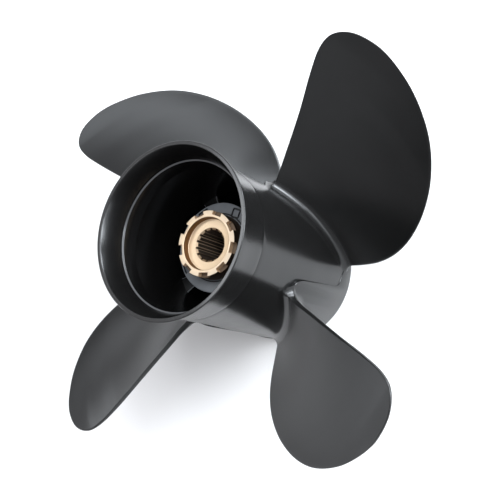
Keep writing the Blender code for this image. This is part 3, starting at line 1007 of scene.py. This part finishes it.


# %% [markdown]
# Brass is cut on a lathe and then broached. The faces that look backwards are freshly machined and
# bright, with very fine rings: a wave of the distance from the shaft. The slots' floors, the wall of the
# recess and the spline are coloured darker. The slots' side walls are painted much lighter than their
# floors, as painted light, and bright lines on the edges of the spline's teeth are painted highlights on
# two opposite sides. A tone that changes across the piece, with a little mottle, paints a sheen on the
# head and a shade on the sunk face. Which part a point belongs to is read from its height, its distance
# from the shaft, its turn around it and the way that its surface faces.

# %% Machined brass
def machined_brass():
    finish = Finish("machined_brass")
    x, y, height = finish.parts(finish.place)
    facing = finish.facing_aft()
    radius = from_shaft(x, y)
    cloud = finish.noise(90.0, 4.0)
    fine = finish.noise(1800.0, 2.0)
    rings = radius.maths("SINE", radius * 16000.0 + cloud * 6.0)
    in_recess = (1.0 - radius.ramp(0.0198, 0.0202)) * height.ramp(0.1195, 0.1199)
    machined = facing.ramp(0.55, 0.80) * (height.ramp(0.1252, 0.1256) + in_recess).ramp(0.0, 1.0)
    in_slot = radius.band(0.0209, 0.0211, 0.02425, 0.02435) * height.ramp(0.1215, 0.1218)
    in_bore = (1.0 - radius.ramp(0.0134, 0.0138)) * (1.0 - height.ramp(0.1192, 0.1196))
    turn = y.maths("ARCTAN2", y, x)
    tooth = turn.maths("COSINE", (turn - math.radians(FIRST_GROOVE)) * float(SPLINE_COUNT))
    # Painted highlights: bright lines on the spline's tooth edges, kept to two opposite sides of the bore.
    painted_spline_highlight = (1.0 - abs(tooth - 0.2) * 2.2).ramp(0.0, 1.0)
    painted_spline_highlight *= (1.0 - abs(y) * 110.0).ramp(0.0, 0.5)
    dark = finish.mix(in_recess, (0.085, 0.055, 0.034), (0.26, 0.145, 0.07))
    # Painted light: the slots' side walls are painted much lighter than their floors.
    slot = finish.mix(facing.ramp(0.4, 0.6), (0.72, 0.50, 0.31), (0.13, 0.085, 0.050))
    dark = finish.mix(in_slot, dark, slot)
    dark = finish.mix(in_bore, dark, finish.mix(painted_spline_highlight, (0.055, 0.039, 0.028), (0.80, 0.60, 0.42)))
    # Painted sheen and shade, with a little mottle: along x the head's face turns a little lighter and the
    # sunk face darker.
    painted_light_and_mottle = (x * 26.0 + cloud * 0.4 + fine * 0.3).ramp(-0.20, 1.00)
    head = finish.mix(painted_light_and_mottle, (0.90, 0.71, 0.50), (0.94, 0.77, 0.57))
    sunk_face = finish.mix(painted_light_and_mottle, (0.95, 0.76, 0.54), (0.72, 0.55, 0.36))
    bright = finish.mix(in_recess, head, sunk_face)
    return finish.close(
        Base_Color=finish.mix(machined, dark, bright), Metallic=1.0 - (in_bore + in_slot) * 0.9,
        Roughness=0.55 - machined * 0.15 + fine * 0.10 + cloud * 0.06,
        Normal=finish.bump(rings * 0.3 + fine * 0.7, 0.25, 0.00004))


brass = machined_brass()
print(brass.name, "has", len(brass.node_tree.nodes), "nodes")


# %% [markdown]
# The bush is a moulded plastic, dull grey with a faint mottle. The lines in the flange's face, the walls
# of its notches and its sides are painted nearly black, as painted shade. The notches' floors get much
# less of it.

# %% Grey plastic
def grey_plastic():
    finish = Finish("grey_bush_plastic")
    cloud = finish.noise(60.0, 4.0)
    grain = finish.noise(1600.0, 2.0)
    x, y, height = finish.parts(finish.place)
    side = from_shaft(x, y).ramp(0.0334, 0.0336)
    sunk = 1.0 - height.ramp(FLANGE_TOP - 0.0004, FLANGE_TOP - 0.0002)
    floor_height = FLANGE_TOP - NOTCH_SIZE[2] / 2
    notch_floor = height.band(floor_height - 0.0001, floor_height - 0.00005,
                              floor_height + 0.00005, floor_height + 0.0001)
    # Painted shade: everything sunk below the flange's face is painted nearly black, and the notches' floors
    # get less of it.
    painted_shade = sunk * (1.0 - notch_floor * (1.0 - side) * 0.6)
    face = finish.mix(cloud.ramp(0.3, 0.7), (0.135, 0.145, 0.156), (0.185, 0.195, 0.207))
    colour = finish.mix(painted_shade, face, (0.006, 0.006, 0.006))
    return finish.close(
        Base_Color=colour, Roughness=0.50 + grain * 0.12, Normal=finish.bump(grain, 0.3, 0.00006), IOR=1.45)


plastic = grey_plastic()
finish_of_piece = {"grey_bush": plastic, "brass_sleeve": brass}
finished = [piece for piece in bpy.data.objects if piece.type == "MESH" and piece.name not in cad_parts]
for piece in finished:
    piece.data.materials.clear()
    piece.data.materials.append(finish_of_piece.get(piece.name, paint))
print("finished pieces:", sorted(piece.name for piece in finished))


# %% [markdown]
# ## Floor, camera and light
#
# The propeller stands on a pale floor. The camera looks down into the exhaust end from one side, and it
# is rolled so that the blades lie in the frame as they do in the photograph.

# %% Floor
def studio_floor():
    fresh_start()
    bpy.ops.mesh.primitive_plane_add(size=6.0, location=(0, 0, -0.0002))
    floor = bpy.context.object
    settle(floor)
    floor.name = "studio_floor"
    finish = Finish("pale_floor")
    cloud = finish.noise(3.0, 2.0)
    colour = finish.mix(cloud, (0.90, 0.90, 0.90), (0.91, 0.91, 0.91))
    floor.data.materials.append(finish.close(Base_Color=colour, Roughness=0.9, Specular_IOR_Level=0.1))
    return floor


floor = studio_floor()
print("floor:", floor.name)

# %% Camera
from mathutils import Matrix, Vector

CAMERA_PLACE = Vector((0.27046, 0.0, 0.48116))
CAMERA_AIM = Vector((0.01399, 0.00614, 0.090))
CAMERA_UP = Vector((-0.26587, 0.94526, 0.18917))
LENS = 44.74
camera_data = bpy.data.cameras.new("photo_camera")
camera = bpy.data.objects.new("photo_camera", camera_data)
bpy.context.collection.objects.link(camera)
back = (CAMERA_PLACE - CAMERA_AIM).normalized()
right = CAMERA_UP.cross(back).normalized()
up = back.cross(right)
camera.matrix_world = Matrix.Translation(CAMERA_PLACE) @ Matrix((right, up, back)).transposed().to_4x4()
camera_data.sensor_width = 36.0
camera_data.lens = LENS
camera_data.clip_start = 0.01
camera_data.clip_end = 20.0
bpy.context.scene.camera = camera
bpy.context.scene.view_settings.view_transform = "Standard"
print("camera at", tuple(round(value, 3) for value in CAMERA_PLACE))


# %% [markdown]
# The photograph was taken on a bright table with big soft light around it. Here the light is built from
# soft boxes: low and middle ones on the camera's side that draw the grey band along the barrel, high ones
# that whiten the table, and weaker ones behind. Each is given by its height above the floor and its
# direction, both in degrees, its width and its power. The upper one behind is small, so it draws a crisp
# line on the lip. All are a little cool.

# %% Soft boxes
SOFT_BOXES = (
    ("floor_front", 5, 0, 0.50, 5.2), ("floor_key", 5, 30, 0.50, 22.5), ("floor_side", 5, 60, 0.50, 18.8),
    ("low_front", 14, 0, 0.60, 1.7), ("low_key", 14, 20, 0.60, 25.3), ("low_middle", 14, 40, 0.60, 9.9),
    ("low_side", 14, 60, 0.60, 14.2), ("low_far_side", 14, 80, 0.60, 2.7),
    ("low_back_side", 14, 150, 0.60, 2.0), ("low_back", 14, 180, 0.60, 4.0),
    ("low_back_far", 14, 210, 0.60, 3.5),
    ("middle_key", 26, 30, 0.80, 9.5), ("middle_side", 26, 60, 0.80, 17.9),
    ("raised_key", 38, 30, 1.0, 3.6),
    ("upper_key", 52, 36, 1.0, 7.0), ("upper_far", 52, 288, 1.0, 1.1), ("upper_back", 60, 177, 0.55, 3.5),
    ("top_key", 66, 60, 1.0, 12.7), ("top_side", 66, 120, 1.0, 4.5),
)
BOX_COLOUR = (0.92, 0.96, 1.0)
ROOM_COLOUR = (0.98, 0.97, 1.0, 1.0)
ROOM_STRENGTH = 0.66
TABLE_CENTRE = Vector((0, 0, 0.08))
BOX_DISTANCE = 2.0


def soft_box(name, elevation, azimuth, size, power):
    data = bpy.data.lights.new(name, "AREA")
    data.shape = "SQUARE"
    data.size = size
    data.energy = power
    data.color = BOX_COLOUR
    light = bpy.data.objects.new(name, data)
    bpy.context.collection.objects.link(light)
    level = math.cos(math.radians(elevation))
    turn = math.radians(azimuth)
    away = Vector((level * math.cos(turn), level * math.sin(turn), math.sin(math.radians(elevation))))
    light.location = TABLE_CENTRE + BOX_DISTANCE * away
    light.rotation_euler = (-away).to_track_quat("-Z", "Y").to_euler()


for box in SOFT_BOXES:
    soft_box(*box)
world = bpy.data.worlds.new("soft_room")
bpy.context.scene.world = world
world.use_nodes = True
world.node_tree.nodes["Background"].inputs["Color"].default_value = ROOM_COLOUR
world.node_tree.nodes["Background"].inputs["Strength"].default_value = ROOM_STRENGTH
